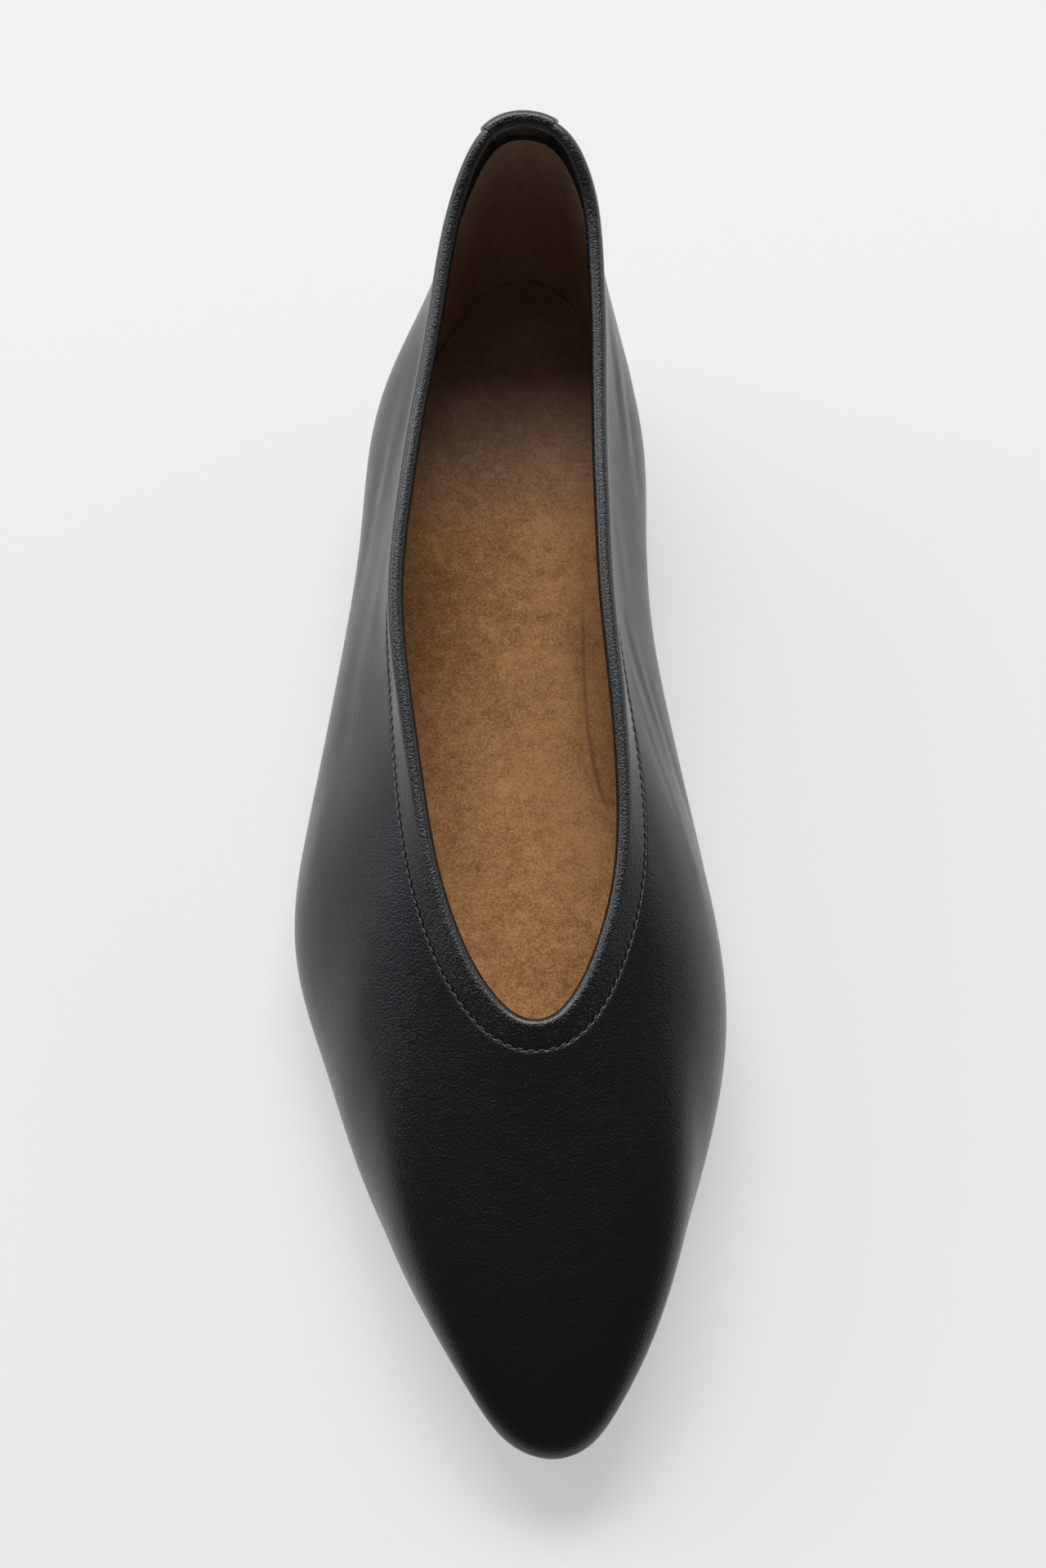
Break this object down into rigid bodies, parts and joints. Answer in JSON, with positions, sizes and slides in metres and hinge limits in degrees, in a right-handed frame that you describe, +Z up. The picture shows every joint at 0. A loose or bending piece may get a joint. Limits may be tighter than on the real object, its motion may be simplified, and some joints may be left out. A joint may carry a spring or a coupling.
{
  "type": "pointed toe flat shoe",
  "caption": "Slip-on flat shoe with a pointed toe, a deep smooth throat, a rolled bound topline, a strap over the back of the collar, a suede footbed and a low heel.",
  "frame": {"origin": "on the floor, at the centre of the flat underside of the heel", "axes": "+Z up from the floor; +Y from the toe towards the back of the heel, so the toe points along -Y; +X to the wearer's medial side"},
  "size_m": [0.0817, 0.2595, 0.0687],
  "materials": {
    "black_leather": "soft smooth black leather with a fine grain and a low sheen",
    "tan_suede": "matt tan suede with a short mottled nap",
    "black_rubber": "plain matt black rubber"
  },
  "bodies": {
    "root": {"upper": "black_leather", "topline_binding": "black_leather", "heel_tab": "black_leather", "heel_facing": "black_leather", "insole": "tan_suede", "outsole": "black_rubber", "heel": "black_rubber"}
  },
  "joints": []
}
